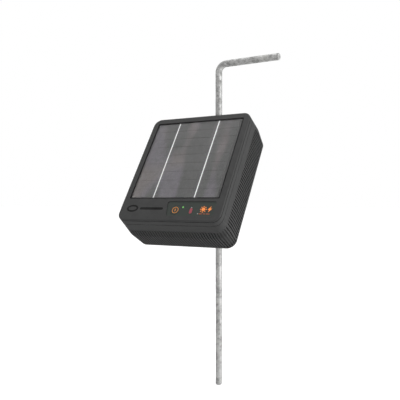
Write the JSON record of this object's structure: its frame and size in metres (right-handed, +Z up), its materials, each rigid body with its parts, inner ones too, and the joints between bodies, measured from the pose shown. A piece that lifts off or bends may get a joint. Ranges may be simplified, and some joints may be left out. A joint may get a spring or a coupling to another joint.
{
  "type": "solar fence energizer on a ground stake",
  "caption": "Solar electric-fence energizer: flat ribbed case with a tilted solar panel, key and status lights, clamped on a bent galvanised ground stake.",
  "frame": {"origin": "centre of the ground stake's lower end", "axes": "+Z up the stake, +X along the stake's handle, -Y the side that the solar panel faces"},
  "size_m": [0.1731, 0.1569, 0.478],
  "materials": {
    "case": "fine spark texture, charcoal",
    "seal": "soft black",
    "panel_glass": "clear, slightly glossy",
    "ribbon": "tinned, satin",
    "solar_cell": "dark crystalline cells",
    "panel_backing": "grey laminate",
    "label": "printed film, satin",
    "nameplate": "black inset",
    "button": "soft key with a printed power ring",
    "switch_plunger": "natural",
    "switch_case": "moulded",
    "green_light": "clear green",
    "red_light": "clear red",
    "board": "solder mask",
    "screw": "zinc plated",
    "ferrite": "sintered",
    "winding": "taped winding",
    "capacitor": "film box",
    "component": "moulded packages",
    "tray": "moulded",
    "battery_sleeve": "sleeved cells",
    "black_lead": "insulated wire",
    "red_lead": "insulated wire",
    "green_lead": "insulated wire",
    "stud": "plated brass",
    "vent": "moulded",
    "strap": "stainless strip",
    "terminal_base": "insulating bush",
    "washer": "stainless",
    "fence_knob": "red, moulded",
    "earth_knob": "green, moulded",
    "bracket": "die cast, as blasted",
    "bush": "turned",
    "circlip": "spring steel",
    "clamp_knob": "moulded",
    "galvanised": "hot-dip galvanised, mottled"
  },
  "bodies": {
    "stake": {"ground_stake": "galvanised"},
    "stake_bush": {"stake_bush": "bush", "bush_circlip": "circlip"},
    "power_button": {"power_button": "button", "switch_plunger": "switch_plunger"},
    "fence_washer": {"fence_washer": "washer"},
    "fence_knob": {"fence_knob": "fence_knob"},
    "earth_washer": {"earth_washer": "washer"},
    "earth_knob": {"earth_knob": "earth_knob"},
    "clamp_pad": {"clamp_pad": "bush"},
    "clamp_knob": {"clamp_screw": "screw", "clamp_knob": "clamp_knob"},
    "housing": {"front_cover": "case", "rear_shell": "case", "case_seal": "seal", "panel_glass": "panel_glass", "panel_ribbons": "ribbon", "solar_cells": "solar_cell", "panel_backing": "panel_backing", "control_label": "label", "nameplate": "nameplate", "switch_body": "switch_case", "power_light_pipe": "green_light", "battery_light_pipe": "red_light", "main_board": "board", "board_screws": "screw", "transformer_core": "ferrite", "transformer_bobbin": "winding", "storage_capacitor": "capacitor", "board_components": "component", "case_screws": "screw", "battery_tray": "tray", "battery_cells": "battery_sleeve", "battery_protection_board": "board", "panel_lead": "black_lead", "battery_lead": "red_lead", "fence_lead": "red_lead", "earth_lead": "green_lead", "terminal_nuts": "stud", "vent_plug": "vent", "bracket_screws": "screw", "earth_strap": "strap", "fence_stud": "stud", "fence_terminal_base": "terminal_base", "earth_stud": "stud", "earth_terminal_base": "terminal_base", "stake_bracket": "bracket", "clamp_insert": "bush"}
  },
  "joints": [
    {"name": "height_slide", "type": "slide", "parent": "stake", "child": "stake_bush", "axis": [0, 0, 1], "range_m": [-0.06, 0.06]},
    {"name": "aim_swivel", "type": "hinge", "parent": "stake_bush", "child": "housing", "pos_m": [0, 0, 0.3105], "axis": [0, 0, 1], "continuous": true},
    {"name": "power_button_press", "type": "slide", "parent": "housing", "child": "power_button", "axis": [0, 0.8368, -0.5476], "range_m": [0, 0.0006], "stiffness_N_per_m": 1200, "springref_m": -0.0005},
    {"name": "clamp_knob_turn", "type": "hinge", "parent": "clamp_pad", "child": "clamp_knob", "pos_m": [0.04, 0, 0.3105], "axis": [1, 0, 0], "range_deg": [0, 1080]},
    {"name": "clamp_pad_slide", "type": "slide", "parent": "housing", "child": "clamp_pad", "axis": [1, 0, 0], "range_m": [0, 0.003]},
    {"name": "fence_washer_slide", "type": "slide", "parent": "housing", "child": "fence_washer", "axis": [0, 0.8368, -0.5476], "range_m": [0, 0.004]},
    {"name": "fence_knob_turn", "type": "hinge", "parent": "fence_washer", "child": "fence_knob", "pos_m": [-0.025, -0.07007, 0.23405], "axis": [0, 0.8368, -0.5476], "range_deg": [0, 1800]},
    {"name": "earth_washer_slide", "type": "slide", "parent": "housing", "child": "earth_washer", "axis": [0, 0.8368, -0.5476], "range_m": [0, 0.004]},
    {"name": "earth_knob_turn", "type": "hinge", "parent": "earth_washer", "child": "earth_knob", "pos_m": [0.025, -0.07007, 0.23405], "axis": [0, 0.8368, -0.5476], "range_deg": [0, 1800]}
  ],
  "couplings": [
    {"joint": "clamp_pad_slide", "follows": "clamp_knob_turn", "m_per_rad": 0.00015915},
    {"joint": "fence_washer_slide", "follows": "fence_knob_turn", "m_per_rad": 0.00012732},
    {"joint": "earth_washer_slide", "follows": "earth_knob_turn", "m_per_rad": 0.00012732}
  ]
}
